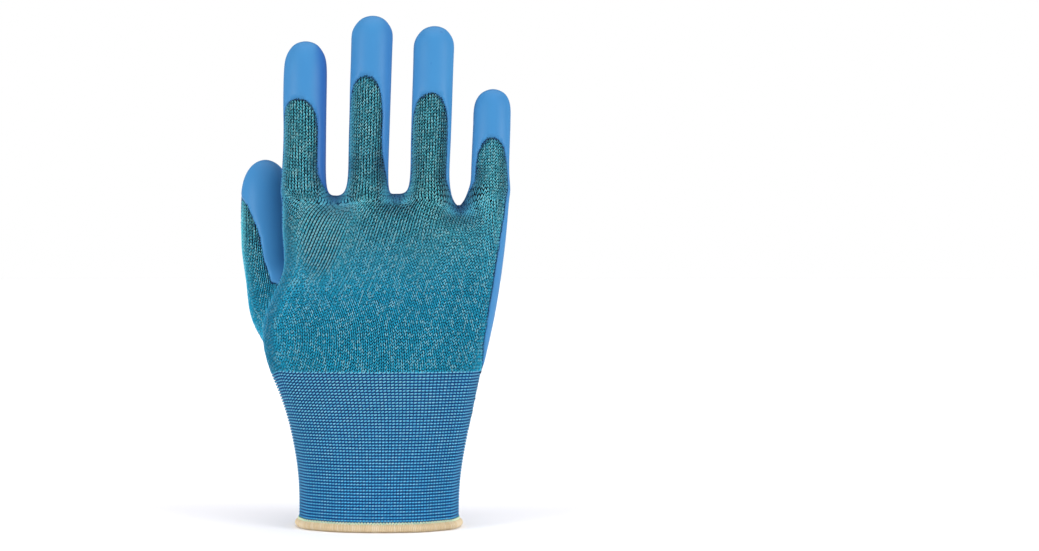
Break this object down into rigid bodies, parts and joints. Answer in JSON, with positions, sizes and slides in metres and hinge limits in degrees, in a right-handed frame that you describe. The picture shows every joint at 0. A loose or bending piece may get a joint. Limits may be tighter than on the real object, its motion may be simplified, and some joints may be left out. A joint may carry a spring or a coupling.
{
  "type": "palm-coated knit work glove",
  "caption": "Right-hand knitted work glove with a smooth blue palm coating, bare knit back, ribbed cuff and overlocked rim, filled out as a hand fills it.",
  "frame": {"origin": "middle of the wrist opening, at the glove's lower edge, where the wrist goes in and holds the glove", "axes": "+Z from the wrist to the fingertips, -Y out of the back of the hand, +Y out of the palm, -X towards the thumb's side"},
  "size_m": [0.1285, 0.0644, 0.2373],
  "materials": {
    "knit_back": "fine plain knit in teal blue yarn",
    "knit_cuff": "close ribbed knit in blue yarn",
    "coating": "smooth satin dipped film",
    "binding": "overlocked beige thread"
  },
  "bodies": {
    "root": {"knit_liner": "knit_back", "knit_cuff": "knit_cuff", "palm_coating": "coating", "cuff_binding": "binding"}
  },
  "joints": []
}
